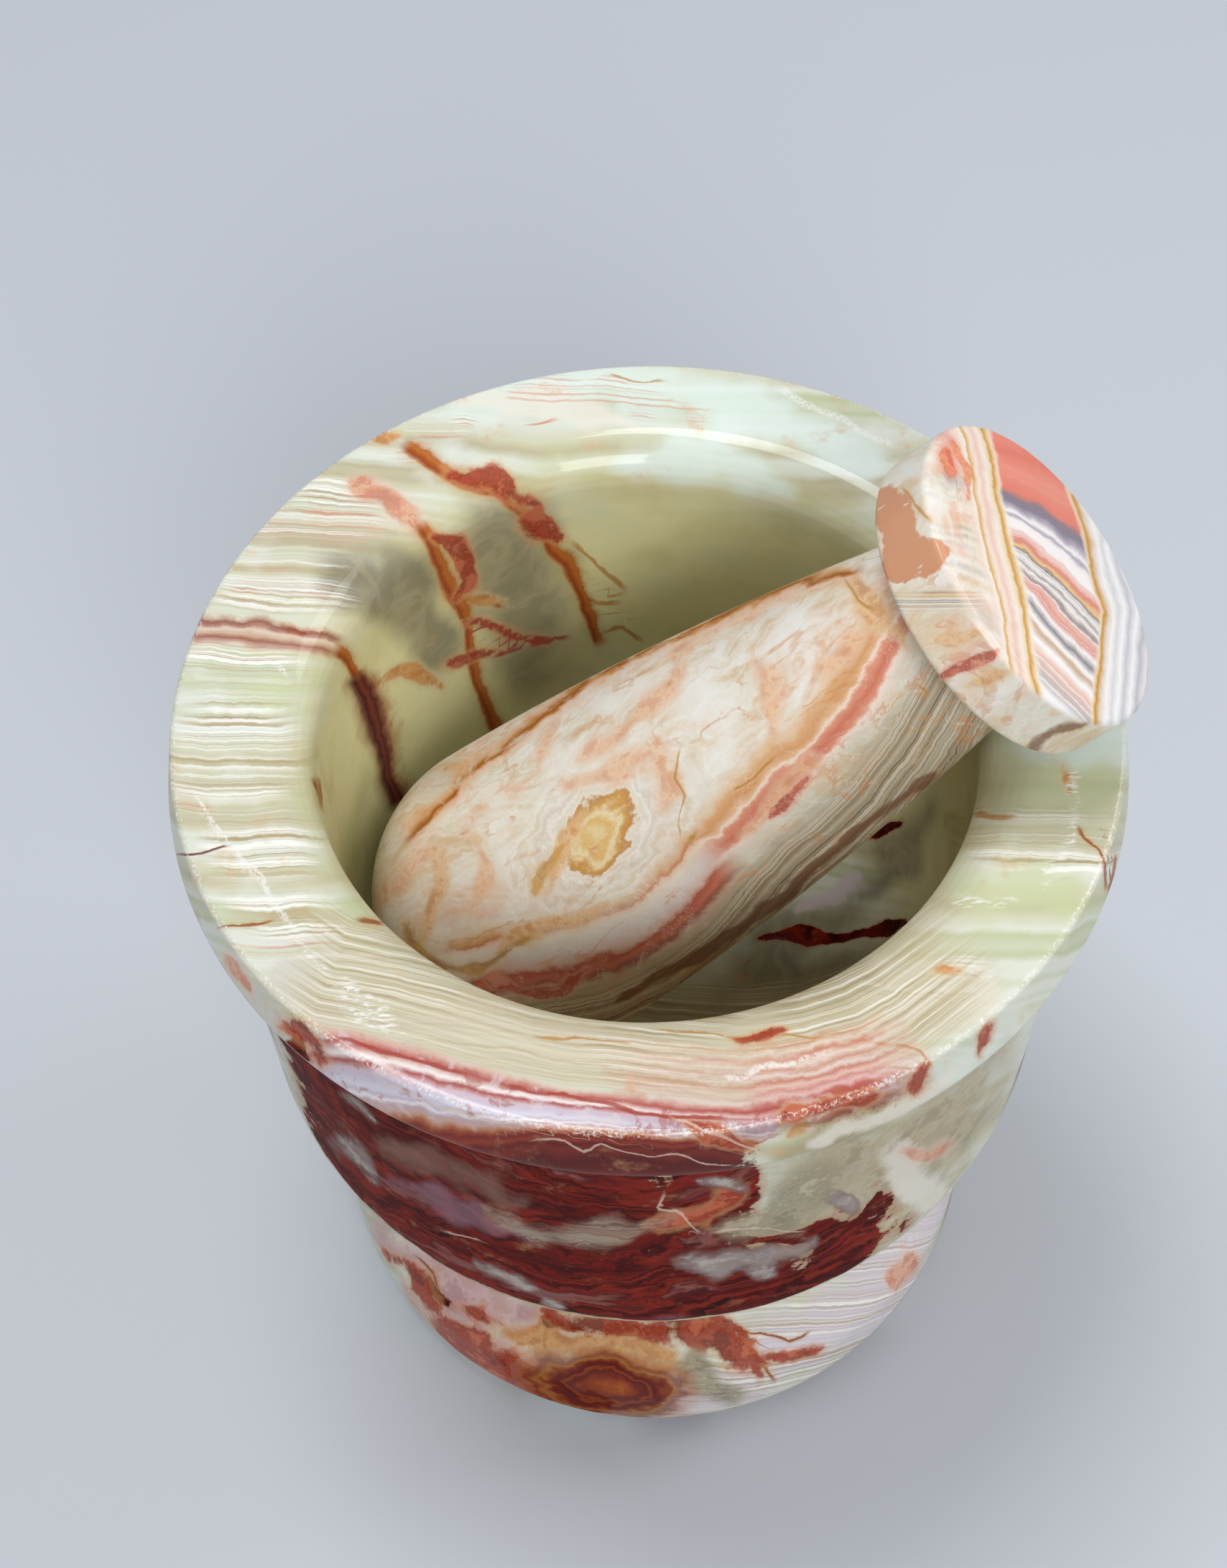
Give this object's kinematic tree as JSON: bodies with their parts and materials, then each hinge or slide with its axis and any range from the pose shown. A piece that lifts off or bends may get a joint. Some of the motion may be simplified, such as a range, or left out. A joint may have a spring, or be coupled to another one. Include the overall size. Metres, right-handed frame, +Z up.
{
  "type": "mortar and pestle",
  "caption": "Footed mortar with a flat flared rim and a round-floored bowl, and a club-shaped pestle with a disc head leaning in it, both turned from polished banded onyx.",
  "frame": {"origin": "centre of the mortar's foot, on the surface that it stands on", "axes": "+Z up along the mortar's axis, out of the bowl; +X towards the side where the pestle's head rests on the rim"},
  "size_m": [0.1029, 0.1024, 0.1314],
  "materials": {
    "mortar_onyx": "polished",
    "pestle_onyx": "polished"
  },
  "bodies": {
    "mortar": {"mortar": "mortar_onyx"},
    "pestle": {"pestle": "pestle_onyx"}
  },
  "joints": [
    {"name": "pestle_lift", "type": "slide", "parent": "mortar", "child": "pestle", "axis": [0, 0, 1], "range_m": [0, 0.1]}
  ]
}
